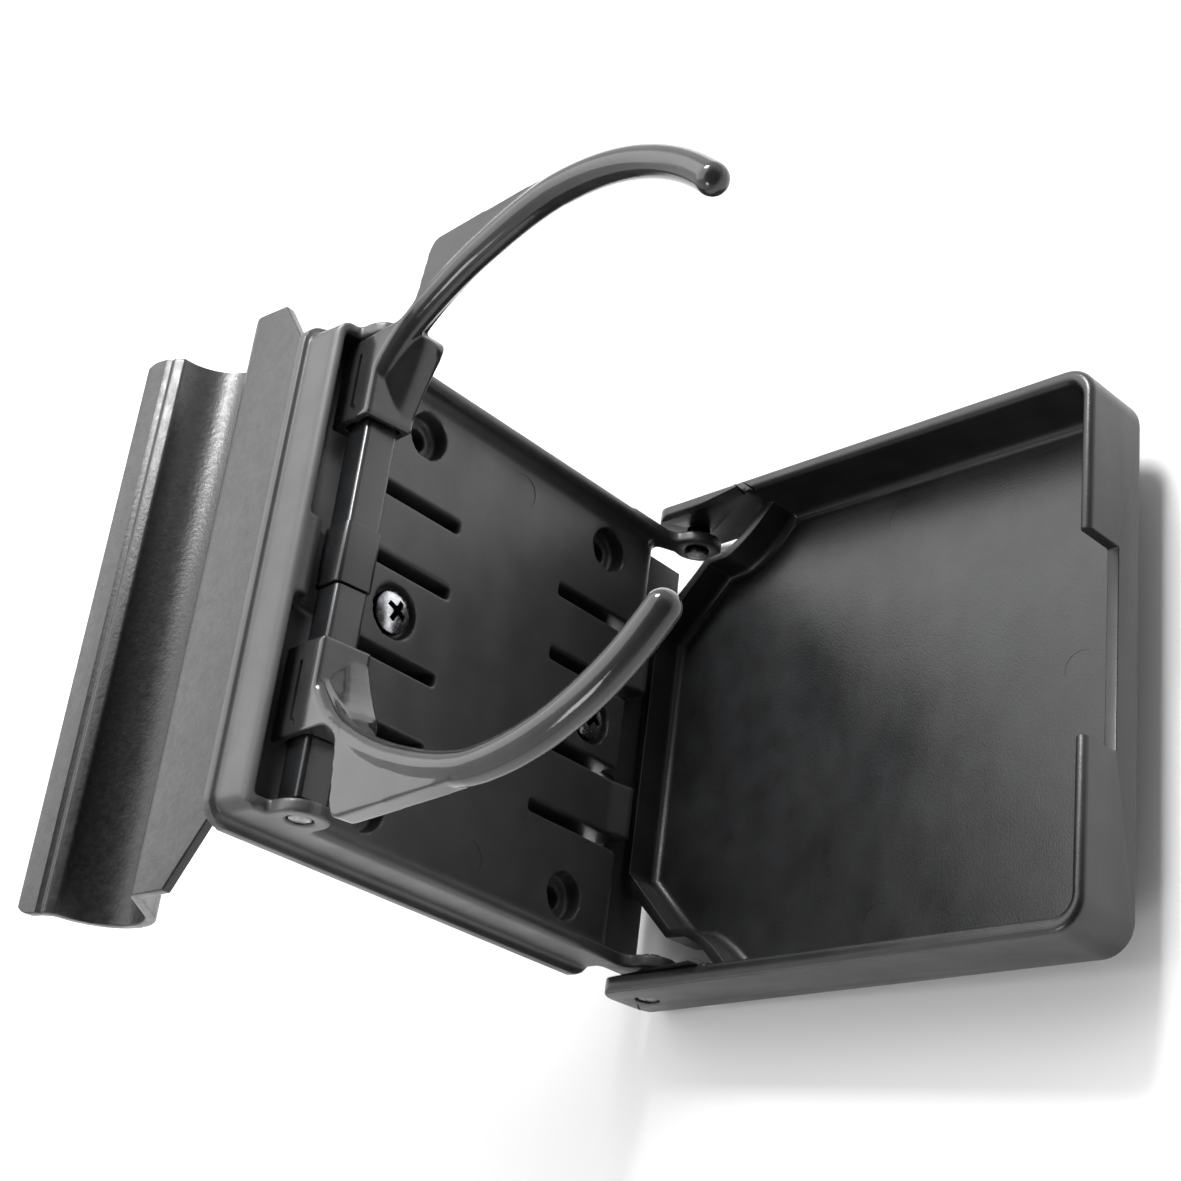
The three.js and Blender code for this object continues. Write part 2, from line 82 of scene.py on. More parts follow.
axis_of = {joint["name"]: joint.get("pos_m") for joint in frame["joints"]}
bar_axis = axis_of["arms_fold"]
tray_axis = axis_of["tray_fold"]
plate_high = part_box("back_plate")[1]
HOLDER_ORIGIN = Vector((0, plate_high.y - PLATE_THICKNESS * MM, plate_high.z - FLANGE_TOP * MM))
HOLDER = placed(HOLDER_ORIGIN, 0)
TRAY = placed(HOLDER_ORIGIN, TRAY_RAISED)
BAR = placed(Vector(bar_axis), ARMS_RAISED)
BAR_Y = (bar_axis[1] - HOLDER_ORIGIN.y) / MM
BAR_Z = (bar_axis[2] - HOLDER_ORIGIN.z) / MM
HINGE_Y = (tray_axis[1] - HOLDER_ORIGIN.y) / MM
HINGE_Z = (tray_axis[2] - HOLDER_ORIGIN.z) / MM

# ---- outlines ----------------------------------------------------------------------------------


def from_above(a, b, depth):
    return (a, b, depth)


def from_front(a, b, depth):
    return (a, -depth, b)


def from_side(a, b, depth):
    return (depth, a, b)


def arc(x, y, radius, start, end, steps=10):
    """Points on a circle, in degrees, both ends included."""
    turns = [math.radians(start + (end - start) * i / steps) for i in range(steps + 1)]
    return [(x + radius * math.cos(t), y + radius * math.sin(t)) for t in turns]


def disc(x, y, radius, steps=48):
    return arc(x, y, radius, 0, 360, steps)[:-1]


def rectangle(left, bottom, right, top):
    return [(left, bottom), (right, bottom), (right, top), (left, top)]


def rounded(left, bottom, right, top, radius, steps=8):
    """A rectangle with round corners."""
    return (
        arc(right - radius, top - radius, radius, 0, 90, steps)
        + arc(left + radius, top - radius, radius, 90, 180, steps)
        + arc(left + radius, bottom + radius, radius, 180, 270, steps)
        + arc(right - radius, bottom + radius, radius, 270, 360, steps)
    )


def curve(start, control, end, steps=8):
    """A quadratic curve, both ends included."""
    points = []
    for i in range(steps + 1):
        t = i / steps
        weights = ((1 - t) ** 2, 2 * t * (1 - t), t * t)
        trio = (start, control, end)
        points.append(tuple(sum(w * p[k] for w, p in zip(weights, trio)) for k in (0, 1)))
    return points


def both_sides(points):
    """An outline from its +X half."""
    return points + [(-x, y) for x, y in reversed(points)]


SAME_POINT = 0.003


def without_repeats(outline):
    """The outline without the points that repeat where its stretches meet."""
    return [p for i, p in enumerate(outline) if math.dist(p, outline[i - 1]) > SAME_POINT]


def inset(outline, distance):
    """The outline moved inward by a distance, or outward if it is negative."""
    area = sum(a[0] * b[1] - b[0] * a[1] for a, b in zip(outline, outline[1:] + outline[:1]))
    turn = 1 if area > 0 else -1
    moved = []
    for i, (x, y) in enumerate(outline):
        before, after = Vector(outline[i - 1]), Vector(outline[(i + 1) % len(outline)])
        first = (Vector((x, y)) - before).normalized()
        second = (after - Vector((x, y))).normalized()
        inward = Vector((-first.y - second.y, first.x + second.x)) * turn
        moved.append(Vector((x, y)) + inward * distance / (1 + first.dot(second)))
    return moved


# ---- solids ------------------------------------------------------------------------------------


def new_object(name, bm):
    mesh = bpy.data.meshes.new(name)
    bmesh.ops.recalc_face_normals(bm, faces=bm.faces)
    bm.to_mesh(mesh)
    bm.free()
    obj = bpy.data.objects.new(name, mesh)
    bpy.context.scene.collection.objects.link(obj)
    return obj


def loft(rings):
    """A closed solid through rings of 3-D points, capped at both ends."""
    bm = bmesh.new()
    rows = [[bm.verts.new(point) for point in ring] for ring in rings]
    count = len(rows[0])
    for lower, upper in zip(rows, rows[1:]):
        for i in range(count):
            bm.faces.new((lower[i - 1], lower[i], upper[i], upper[i - 1]))
    bm.faces.new(rows[0])
    bm.faces.new(rows[-1])
    return new_object("loft", bm)


def prism(outline, view, start, end):
    """A straight solid of an outline."""
    apart = without_repeats(outline)
    return loft([[view(a, b, depth) for a, b in apart] for depth in (start, end)])


PAST_MOUTH = 20


def rounded_prism(outline, view, start, end, start_round=0.0, end_round=0.0, steps=8):
    """A prism with its start and end edges rounded.

    A negative end round flares outward instead, and the solid runs on past it, to cut a cavity
    whose mouth has a rounded rim.
    """
    apart = without_repeats(outline)
    turns = [math.pi / 2 * i / steps for i in range(steps + 1)]
    levels = []
    if start_round:
        for t in turns:
            levels.append((start + start_round * (1 - math.cos(t)), start_round * (1 - math.sin(t))))
    else:
        levels.append((start, 0))
    if end_round > 0:
        for t in turns:
            levels.append((end - end_round * (1 - math.sin(t)), end_round * (1 - math.cos(t))))
    elif end_round < 0:
        flare = -end_round
        for t in turns:
            levels.append((end - flare * (1 - math.sin(t)), -flare * (1 - math.cos(t))))
        levels.append((end + PAST_MOUTH, -flare))
    else:
        levels.append((end, 0))
    return loft([[view(a, b, depth) for a, b in inset(apart, distance)] for depth, distance in levels])


def turned(profile, centre, steps=64):
    """A solid of revolution about the forward axis: profile is (radius, forward) from back to front."""
    bm = bmesh.new()
    x, y, z = centre
    rows = []
    for radius, forward in profile:
        if radius == 0:
            rows.append([bm.verts.new((x, y - forward, z))] * steps)
            continue
        ring = disc(0, 0, radius, steps)
        rows.append([bm.verts.new((x + a, y - forward, z + b)) for a, b in ring])
    for lower, upper in zip(rows, rows[1:]):
        for i in range(steps):
            corners = (lower[i - 1], lower[i], upper[i], upper[i - 1])
            bm.faces.new(list(dict.fromkeys(corners)))
    return new_object("turned", bm)


def tube(path, radii, steps=28):
    """A round tube along 3-D points, with a half-ball at its far end."""
    points = [Vector(p) for p in path]
    rings = []
    for i, point in enumerate(points):
        ahead = points[min(i + 1, len(points) - 1)] - points[max(i - 1, 0)]
        side = ahead.cross(Vector((0, 0, 1))).normalized()
        up = side.cross(ahead).normalized()
        rings.append((point, side, up, radii[i]))
    ahead.normalize()
    for angle in range(10, 90, 10):
        t = math.radians(angle)
        rings.append((point + ahead * radii[-1] * math.sin(t), side, up, radii[-1] * math.cos(t)))
    loops = []
    for middle, side, up, radius in rings:
        loops.append([tuple(middle + side * a + up * b) for a, b in disc(0, 0, radius, steps)])
    return loft(loops)


# ---- modifiers and finishing -------------------------------------------------------------------


def rebuilt(obj):
    """Applies the modifiers to the mesh."""
    graph = bpy.context.evaluated_depsgraph_get()
    mesh = bpy.data.meshes.new_from_object(obj.evaluated_get(graph))
    obj.modifiers.clear()
    obj.data = mesh
    return obj


def combine(target, operation, *others):
    for other in others:
        step = target.modifiers.new("join", "BOOLEAN")
        step.operation = operation
        step.solver = "MANIFOLD"
        step.object = other
        rebuilt(target)
        bpy.data.objects.remove(other)
    return target


def join(target, *others):
    return combine(target, "UNION", *others)


def cut(target, *others):
    return combine(target, "DIFFERENCE", *others)


MERGE_WITHIN = 0.004
FLAT_WITHIN = math.radians(0.3)


def cleaned(obj):
    """Merges points that nearly touch and removes edges that lie in a flat face."""
    bm = bmesh.new()
    bm.from_mesh(obj.data)
    bmesh.ops.remove_doubles(bm, verts=bm.verts, dist=MERGE_WITHIN)
    bmesh.ops.dissolve_limit(bm, angle_limit=FLAT_WITHIN, verts=bm.verts, edges=bm.edges)
    bm.to_mesh(obj.data)
    bm.free()
    return obj


WIDE_FACE = 5.0


def shaded_smooth(obj, sharp=28):
    """Smooth shading for the small faces of rounds and fillets; wide flat faces stay flat."""
    obj.data.polygons.foreach_set("use_smooth", [face.area < WIDE_FACE for face in obj.data.polygons])
    obj.data.set_sharp_from_angle(angle=math.radians(sharp))
    obj.data.update()
    return obj


def soften(obj, radius, sharp=35):
    """Rounds every edge that turns more sharply than the given angle."""
    cleaned(obj)
    bevel = obj.modifiers.new("rounding", "BEVEL")
    bevel.limit_method = "ANGLE"
    bevel.angle_limit = math.radians(sharp)
    bevel.width = radius
    bevel.segments = 3
    bevel.use_clamp_overlap = False
    bevel.miter_outer = "MITER_ARC"
    rebuilt(obj)
    return shaded_smooth(obj)


def blended(obj, voxel, iterations, keep):
    """Gives a solid moulded edges and fillets: a fine even mesh, relaxed and then thinned out."""
    remesh = obj.modifiers.new("blend", "REMESH")
    remesh.mode = "VOXEL"
    remesh.voxel_size = voxel
    rebuilt(obj)
    relax = obj.modifiers.new("relax", "SMOOTH")
    relax.factor = 0.5
    relax.iterations = iterations
    rebuilt(obj)
    thin = obj.modifiers.new("thin", "DECIMATE")
    thin.ratio = keep
    return rebuilt(obj)


def finished(obj, name, place, body, node, material):
    """Names a piece, puts it in the frame, gives it its finish and hands it to its body."""
    obj.name = name
    obj.data.name = name
    obj.data.transform(place)
    obj.data.materials.clear()
    obj.data.materials.append(material)
    obj.data.update()
    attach(obj, body)
    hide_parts(node)
    return obj


# ---- materials ---------------------------------------------------------------------------------

NOISE_LOW = 0.3
NOISE_HIGH = 0.7


class Nodes:
    """A short way to write a material's node tree."""

    def __init__(self, name):
        self.material = bpy.data.materials.new(name)
        self.material.use_nodes = True
        self.tree = self.material.node_tree
        self.shader = self.tree.nodes["Principled BSDF"]
        self.place = self.add("ShaderNodeTexCoord").outputs["Object"]

    def add(self, kind, **values):
        """A new node; each value sets the property of that name, or else the input."""
        node = self.tree.nodes.new(kind)
        for key, value in values.items():
            if hasattr(node, key):
                setattr(node, key, value)
            else:
                node.inputs[key.replace("_", " ")].default_value = value
        return node

    def link(self, source, target):
        self.tree.links.new(source, target)

    def drive(self, source, name):
        """Feeds a value into one of the shader's inputs."""
        self.link(source, self.shader.inputs[name])

    def noise(self, scale, detail=4, roughness=0.5, stretch=None):
        node = self.add("ShaderNodeTexNoise", Scale=scale, Detail=detail, Roughness=roughness)
        source = self.place
        if stretch:
            mapping = self.add("ShaderNodeMapping", Scale=stretch)
            self.link(source, mapping.inputs["Vector"])
            source = mapping.outputs["Vector"]
        self.link(source, node.inputs["Vector"])
        return node.outputs["Fac"]

    def spread(self, value, low, high):
        """Stretches the middle of a noise over a range."""
        ends = {"From_Min": NOISE_LOW, "From_Max": NOISE_HIGH, "To_Min": low, "To_Max": high}
        node = self.add("ShaderNodeMapRange", **ends)
        self.link(value, node.inputs["Value"])
        return node.outputs["Result"]

    def mixed(self, value, dark, light):
        node = self.add("ShaderNodeMix", data_type="RGBA", A=(*dark, 1), B=(*light, 1))
        self.link(self.spread(value, 0, 1), node.inputs["Factor"])
        return node.outputs["Result"]

    def painted_shade(self, color, distance, power):
        """Darkens a colour in tight recesses: painted shade, taken from ambient occlusion."""
        hollow = self.add("ShaderNodeAmbientOcclusion", Distance=distance)
        deep = self.add("ShaderNodeMath", operation="POWER")
        self.link(hollow.outputs["AO"], deep.inputs[0])
        deep.inputs[1].default_value = power
        mix = self.add("ShaderNodeMix", data_type="RGBA", A=(0, 0, 0, 1))
        self.link(deep.outputs["Value"], mix.inputs["Factor"])
        self.link(color, mix.inputs["B"])
        return mix.outputs["Result"]

    def bump(self, height, distance, strength=1.0, below=None):
        node = self.add("ShaderNodeBump", Strength=strength, Distance=distance)
        self.link(height, node.inputs["Height"])
        if below is not None:
            self.link(below, node.inputs["Normal"])
        return node.outputs["Normal"]


DEEP_BLACK = (0.006, 0.0062, 0.0068)
SOFT_BLACK = (0.013, 0.0135, 0.0145)


def moulded_plastic(name, gloss, grain, waviness, dark=DEEP_BLACK, light=SOFT_BLACK):
    """Black moulded plastic: a slight waviness, a fine grain and faint flow marks in its gloss.

    The gloss is a mean roughness. The grain and the waviness are depths in millimetres.
    """
    nodes = Nodes(name)
    nodes.drive(nodes.mixed(nodes.noise(140, 3), dark, light), "Base Color")
    flow = nodes.noise(60, 5, 0.6, stretch=(0.5, 1, 2.2))
    nodes.drive(nodes.spread(flow, gloss * 0.85, gloss * 1.25), "Roughness")
    wave = nodes.bump(nodes.noise(95, 2), waviness * MM)
    nodes.drive(nodes.bump(nodes.noise(2600, 2), grain * MM, below=wave), "Normal")
    nodes.shader.inputs["IOR"].default_value = 1.5
    return nodes.material


def powder_coated(name):
    """Baked black powder coat: an orange-peel skin over finer speckle."""
    nodes = Nodes(name)
    mix = nodes.mixed(nodes.noise(900, 3), (0.008, 0.008, 0.009), (0.02, 0.02, 0.021))
    nodes.drive(mix, "Base Color")
    nodes.drive(nodes.spread(nodes.noise(400, 4), 0.3, 0.42), "Roughness")
    peel = nodes.bump(nodes.noise(1300, 2, 0.4), 0.05 * MM, 0.9)
    nodes.drive(nodes.bump(nodes.noise(3600, 2), 0.02 * MM, 0.9, peel), "Normal")
    return nodes.material


def plated(name, dark, light, roughness):
    """Plated steel with fine turning marks and a patchy shine."""
    nodes = Nodes(name)
    nodes.shader.inputs["Metallic"].default_value = 1
    # Painted shade: the plating's colour is darkened in tight recesses by ambient occlusion.
    color = nodes.painted_shade(nodes.mixed(nodes.noise(700, 4), dark, light), 2.5 * MM, 2.5)
    nodes.drive(color, "Base Color")
    rough = nodes.spread(nodes.noise(1500, 4), roughness * 0.7, roughness * 1.5)
    nodes.drive(rough, "Roughness")
    marks = nodes.bump(nodes.noise(3000, 2, 0.5, stretch=(1, 0.1, 1)), 0.004 * MM, 0.7)
    nodes.drive(marks, "Normal")
    return nodes.material


plate_plastic = moulded_plastic(
    "plate_plastic", 0.38, 0.014, 0.05, dark=(0.036, 0.036, 0.037), light=(0.05, 0.05, 0.051)
)
tray_plastic = moulded_plastic("tray_plastic", 0.34, 0.03, 0.04)
arm_plastic = moulded_plastic(
    "arm_plastic", 0.13, 0.004, 0.05, dark=(0.018, 0.018, 0.019), light=(0.028, 0.028, 0.029)
)
bar_plastic = moulded_plastic("bar_plastic", 0.24, 0.008, 0.06)
bracket_coat = powder_coated("bracket_coat")
screw_plating = plated("screw_plating", (0.34, 0.35, 0.37), (0.6, 0.6, 0.62), 0.22)
pin_metal = plated("pin_metal", (0.1, 0.1, 0.105), (0.22, 0.22, 0.23), 0.3)

# ---- sizes that several pieces share -----------------------------------------------------------

THROUGH = (-20, 20)
ACROSS = (-60, 60)
BORE_STEPS = 32
PIN_HOLE = 2.4
SCREWS = (79.65, 25.3)
SCREW_HOLE = 2.3
MARK_RADIUS = 3.5


def round_mark(x, y, view, depth):
    """A cutter for a shallow round ejector mark."""
    return prism(disc(x, y, MARK_RADIUS), view, -depth, 1.5)


# ---- back plate --------------------------------------------------------------------------------

WALL_OUTER = 46.6
WALL_INNER = 44.1
PLATE_BOTTOM = 11
PLATE_TOP = 106.5
RIM = 3.9
RIM_ROUND = 1.1
FLANGE_HALF = 48.5
FLANGE_THICKNESS = 2
TOP_WALL_INNER = 102
TOP_ROUND = 3
FACE_ROUND = 4
FOOT_BOTTOM = -0.8
IN_FRONT = -9
ABOVE = 120
POCKET_RADIUS = 8.3
POCKET_INNER = 7.4
EAR_RADIUS = 5
EAR_TOP = 24
SLOT_HALF = 1.3
SLOT_CORNER = 0.35
SLOT_HEIGHTS = ((67.5, 88), (-2, 39.05))
SLOTS = (-22.44, -8.76, 8.76, 22.44)
CATCH_MIDDLE = 15.6
CATCH_HALF = 5.4
CATCH_TOP = 17
CATCH_FORWARD = -1.4
CATCH_PEAK = 12.4
NOTCH_HALF = 8
NOTCH_TOP = 16
SPARE_HOLE_X = 36.7
SPARE_HOLE_HEIGHTS = (26.3, 78.8)


def lower_ear():
    """The ear that hangs below the plate's side wall and carries the tray."""
    neck = (-RIM, PLATE_BOTTOM + 2.2)
    return (
        [(1, PLATE_BOTTOM + 1), (1, EAR_TOP), (-RIM, EAR_TOP), neck]
        + curve(neck, (-RIM - 0.2, 10.9), (HINGE_Y - 0.3, HINGE_Z + EAR_RADIUS), 4)[1:]
        + arc(HINGE_Y, HINGE_Z, EAR_RADIUS, 95, 378, 32)
    )


def plate_shell():
    """The open box: side walls, flange, rounded top edge and rounded lower face."""
    outer = rounded(-WALL_OUTER, PLATE_BOTTOM, WALL_OUTER, PLATE_TOP, 3)
    plate = rounded_prism(outer, from_front, -PLATE_THICKNESS, RIM, 0, RIM_ROUND)
    flange = rounded(-FLANGE_HALF, PLATE_BOTTOM, FLANGE_HALF, FLANGE_TOP, 5)
    join(plate, prism(flange, from_front, -PLATE_THICKNESS, FLANGE_THICKNESS - PLATE_THICKNESS))
    inside = rounded(-WALL_INNER, -20, WALL_INNER, TOP_WALL_INNER, 2.5)
    cut(plate, rounded_prism(inside, from_front, 0, RIM, 2.3, -RIM_ROUND))

    top = PLATE_TOP - TOP_ROUND
    middle = TOP_ROUND - RIM
    above_top = arc(middle, top, TOP_ROUND, 90, 180, 14)
    above_top += [(IN_FRONT, top), (IN_FRONT, ABOVE), (middle, ABOVE)]
    cut(plate, prism(above_top, from_side, *ACROSS))

    low = PLATE_BOTTOM + FACE_ROUND
    below_face = arc(FACE_ROUND, low, FACE_ROUND, 180, 270, 14)
    below_face += [(FACE_ROUND, 0), (IN_FRONT, 0), (IN_FRONT, low)]
    cut(plate, prism(below_face, from_side, -WALL_INNER, WALL_INNER))
    return plate


def catch(middle):
    """The catch on a sprung tab: a slope that leans forward towards its rounded lower edge."""
    peak = (CATCH_FORWARD, CATCH_PEAK)
    slope = (
        [(FACE_ROUND, CATCH_TOP), (0, CATCH_TOP), peak]
        + curve(peak, (CATCH_FORWARD, PLATE_BOTTOM), (0, PLATE_BOTTOM))
        + [(FACE_ROUND, PLATE_BOTTOM)]
    )
    return prism(slope, from_side, middle - CATCH_HALF, middle + CATCH_HALF)


def build_plate():
    plate = plate_shell()
    join(plate, catch(-CATCH_MIDDLE), catch(CATCH_MIDDLE))
    ear = (BAR_Y - EAR_RADIUS, BAR_Z - EAR_RADIUS, EAR_RADIUS, BAR_Z + EAR_RADIUS)
    upper_ear = rounded(*ear, 4.9, 12)
    for inner, outer in ((WALL_INNER, WALL_OUTER), (-WALL_OUTER, -WALL_INNER)):
        join(plate, prism(upper_ear, from_side, inner, outer))
        join(plate, prism(lower_ear(), from_side, inner, outer))
    pocket = disc(BAR_Y, BAR_Z, POCKET_RADIUS, 64)
    cut(plate, prism(pocket, from_side, POCKET_INNER, WALL_INNER))
    cut(plate, prism(pocket, from_side, -WALL_INNER, -POCKET_INNER))
    for y, z in ((BAR_Y, BAR_Z), (HINGE_Y, HINGE_Z)):
        cut(plate, prism(disc(y, z, PIN_HOLE, BORE_STEPS), from_side, *ACROSS))
    for x in SLOTS:
        for low, high in SLOT_HEIGHTS:
            slot = rounded(x - SLOT_HALF, low, x + SLOT_HALF, high, SLOT_CORNER)
            cut(plate, prism(slot, from_front, *THROUGH))
    notch = rectangle(-NOTCH_HALF, 0, NOTCH_HALF, NOTCH_TOP)
    cut(plate, prism(notch, from_front, -FACE_ROUND, 20))
    foot = rectangle(-WALL_INNER, FOOT_BOTTOM, WALL_INNER, PLATE_BOTTOM + 1)
    join(plate, prism(foot, from_front, -PLATE_THICKNESS, -FACE_ROUND))
    for x in (-SPARE_HOLE_X, SPARE_HOLE_X):
        for z in SPARE_HOLE_HEIGHTS:
            cut(plate, prism(disc(x, z, 2.2, BORE_STEPS), from_front, *THROUGH))
            cut(plate, prism(disc(x, z, 4.6), from_front, -3.5, 20))
    for z in SCREWS:
        cut(plate, prism(disc(0, z, SCREW_HOLE, BORE_STEPS), from_front, *THROUGH))
        cut(plate, prism(disc(0, z, 5.2), from_front, -2.2, 20))

    blended(plate, voxel=0.4, iterations=3, keep=0.3)
    for x in (-37.6, 37.6):
        cut(plate, round_mark(x, 52.6, from_front, 0.1))
    shaded_smooth(plate, 50)
    finished(plate, "back_plate_moulding", HOLDER, "holder", "back_plate", plate_plastic)


# ---- tray --------------------------------------------------------------------------------------

TRAY_HALF = 51.9
TRAY_INNER = 48.9
TRAY_FRONT = 107.3
FRONT_WALL = 2.4
TRAY_UNDERSIDE = -2.4
TRAY_RIM = 13.9
TRAY_REAR = 7.4
TRAY_CORNER = 6
CAVITY_CORNER = 3.5
LIP_TOP = 4.8
TAB_INNER = 18.9
TRAY_HINGE = (-6.3, 5.5)
TRAY_OVER = 30
BEHIND = 9


def build_tray():
    outer = both_sides(
        arc(TRAY_HALF - TRAY_CORNER, -TRAY_FRONT + TRAY_CORNER, TRAY_CORNER, 270, 360, 12)
        + [(TRAY_HALF, 0.5), (TRAY_INNER, 0.5)]
        + curve((TRAY_INNER, -25.5), (43, -21), (40.9, -16))
        + [(40.6, -11.1), (27.7, 2.2)]
    )
    tray = rounded_prism(outer, from_above, TRAY_UNDERSIDE, TRAY_RIM, 1.3, 1.3)
    inner_front = -TRAY_FRONT + FRONT_WALL + CAVITY_CORNER
    cavity = both_sides(
        arc(TRAY_INNER - CAVITY_CORNER, inner_front, CAVITY_CORNER, 270, 360, 8)
        + curve((TRAY_INNER, -28.5), (41.9, -23), (39.2, -16.7))
        + [(38.9, -12), (26, 0.6)]
    )
    cut(tray, rounded_prism(cavity, from_above, 0, TRAY_RIM, 1.8, -1.3))
    rear = rectangle(-TRAY_INNER, -28.5, TRAY_INNER, BEHIND)
    cut(tray, prism(rear, from_above, TRAY_REAR, TRAY_OVER))
    between_tabs = rounded(-TAB_INNER, -120, TAB_INNER, -101, 0.5)
    cut(tray, prism(between_tabs, from_above, LIP_TOP, TRAY_OVER))

    low = TRAY_RIM - TRAY_CORNER
    above_rear = arc(-5.5, low, TRAY_CORNER, 90, 0, 12)
    above_rear += [(BEHIND, low), (BEHIND, TRAY_OVER), (-5.5, TRAY_OVER)]
    cut(tray, prism(above_rear, from_side, *ACROSS))
    below_rear = arc(-3, 0.6, 3.2, 0, -70, 8) + [(0, -6), (BEHIND, -6), (BEHIND, 0.6)]
    hole = disc(*TRAY_HINGE, PIN_HOLE, BORE_STEPS)
    for shape, inner in ((below_rear, 48.95), (hole, 48)):
        cut(tray, prism(shape, from_side, inner, 60))
        cut(tray, prism(shape, from_side, -60, -inner))

    soften(tray, 0.3)
    for x, y in ((40.6, -56.3), (-40.6, -56.3), (0, -97.3)):
        cut(tray, round_mark(x, y, from_above, 0.05))
    shaded_smooth(tray)
    finished(tray, "tray_moulding", TRAY, "tray", "tray", tray_plastic)


# ---- cross bar and pins ------------------------------------------------------------------------

BAR_END = 43.8
BAR_HALF_SIZE = 3.3
SLEEVE_HALF_SIZE = 3.7
SPIGOT_HALF_SIZE = 2.0
SOCKET_HALF_SIZE = 2.3
PIN_RADIUS = 2.1
HOLE_START = 40.2
HOLE_OVER = 50


def square_bar(half, start, end, corner=0.9):
    return prism(rounded(-half, -half, half, half, corner, 5), from_side, start, end)


def build_pin(name, centre, ends, place, body):
    pin = prism(disc(*centre, PIN_RADIUS, 40), from_side, *ends)
    soften(pin, 0.35)
    finished(pin, f"{name}_steel", place, body, name, pin_metal)


def build_bar():
    right = join(square_bar(BAR_HALF_SIZE, -5, BAR_END), square_bar(SLEEVE_HALF_SIZE, -5, 6.4))
    cut(right, square_bar(SOCKET_HALF_SIZE, -12, 4, 0.3))
    left = join(square_bar(BAR_HALF_SIZE, -BAR_END, -5.3), square_bar(SPIGOT_HALF_SIZE, -10, 2.7, 0.3))
    for side, obj, sign in (("right", right, 1), ("left", left, -1)):
        near, far = sorted((sign * HOLE_START, sign * HOLE_OVER))
        cut(obj, prism(disc(0, 0, PIN_HOLE, BORE_STEPS), from_side, near, far))
        soften(obj, 0.22)
        node = f"bar_half_{side}"
        finished(obj, f"{node}_moulding", BAR, "bar", node, bar_plastic)
        build_pin(f"bar_pin_{side}", (0, 0), (sign * 40.5, sign * 46.3), BAR, "bar")
        build_pin(f"tray_pin_{side}", TRAY_HINGE, (sign * 43.2, sign * 51.6), TRAY, "tray")


# ---- arms --------------------------------------------------------------------------------------

BLOCK_HALF = 8.6
BLOCK_BACK = 6.1
BLOCK_FRONT = 5.1
BLOCK_TOP = 5
BORE_HALF = 3.6
SHELL_LEVELS = 12
SHELL_BULGE = 1.6
ARM_REACH = 24.9
WEB_BOTTOM = -0.8
FINGER_ASIDE = 21.8
BEND_START = 46
BEND_RADIUS = 55.1
BEND_ANGLE = 44.5
BEND_STEPS = 24
RIDGE_RADIUS = 2.0
FINGER_GROWTH = 0.92
TIP_TAPER = 0.12
RIDGE_HEIGHT = 3.15
FINGER_DROP = 1.95


def front_shell():
    """The curved front of the block: it leans forward towards its lower edge."""
    top = curve((-BLOCK_HALF, -0.4), (0, -2), (5.5, -8), 6)
    top += curve((5.5, -8), (BLOCK_HALF, -11), (BLOCK_HALF, -9), 4)[1:]
    bottom = curve((-BLOCK_HALF, -4.2), (-2, -6), (4.5, -10.2), 6)
    bottom += curve((4.5, -10.2), (BLOCK_HALF, -12.2), (BLOCK_HALF, -8), 4)[1:]
    rings = []
    for level in range(SHELL_LEVELS + 1):
        share = level / SHELL_LEVELS
        bulge = SHELL_BULGE * math.sin(math.pi * share)
        z = BLOCK_TOP - 2 * BLOCK_TOP * share
        front = []
        for (ax, ay), (bx, by) in zip(top, bottom):
            fullness = 1 if ax < 7 else 0.3
            front.append((ax + (bx - ax) * share, ay + (by - ay) * share - bulge * fullness, z))
        rings.append(front + [(BLOCK_HALF, 3, z), (-BLOCK_HALF, 3, z)])
    return loft(rings)


def finger():
    """The round rod: a ridge along the front of the block's top that runs on into the finger."""
    points = curve((-8.4, 0.7), (3.6, -3.6), (9.6, -12), 12)
    points += curve((9.6, -12), (15.2, -20.5), (17.9, -29), 8)[1:]
    points += curve((17.9, -29), (21.4, -39), (FINGER_ASIDE, -BEND_START), 8)[1:]
    rising = len(points)
    for i in range(1, BEND_STEPS + 1):
        turn = math.radians(BEND_ANGLE * i / BEND_STEPS)
        aside = FINGER_ASIDE - BEND_RADIUS * (1 - math.cos(turn))
        points.append((aside, -BEND_START - BEND_RADIUS * math.sin(turn)))
    path, radii = [], []
    for i, (x, y) in enumerate(points):
        share = min(i / rising, 1)
        taper = TIP_TAPER * max(0, i - rising) / BEND_STEPS
        path.append((x, y, RIDGE_HEIGHT - FINGER_DROP * share))
        radii.append(RIDGE_RADIUS + FINGER_GROWTH * share - taper)
    return tube(path, radii)


def arm_web():
    """The flat web between the block and the finger, sloping down towards its outer edge."""
    outline = (
        [(-BLOCK_HALF, 0), (0, -4)]
        + curve((0, -4), (8, -9), (12.5, -18.2))[1:]
        + [(16, -25.6), (19.4, -38), (22, -44), (24.2, -44), (ARM_REACH, -16)]
        + arc(22.3, -15.7, 2.6, 0, 90, 10)
        + arc(12.6, -9.2, 4, 270, 180, 8)
        + [(BLOCK_HALF, 0)]
    )
    above_slope = [(BLOCK_HALF, BLOCK_TOP), (60, -0.4), (60, 20), (BLOCK_HALF, 20)]
    web = prism(outline, from_above, WEB_BOTTOM, BLOCK_TOP)
    return cut(web, prism(above_slope, from_front, -9, 80))


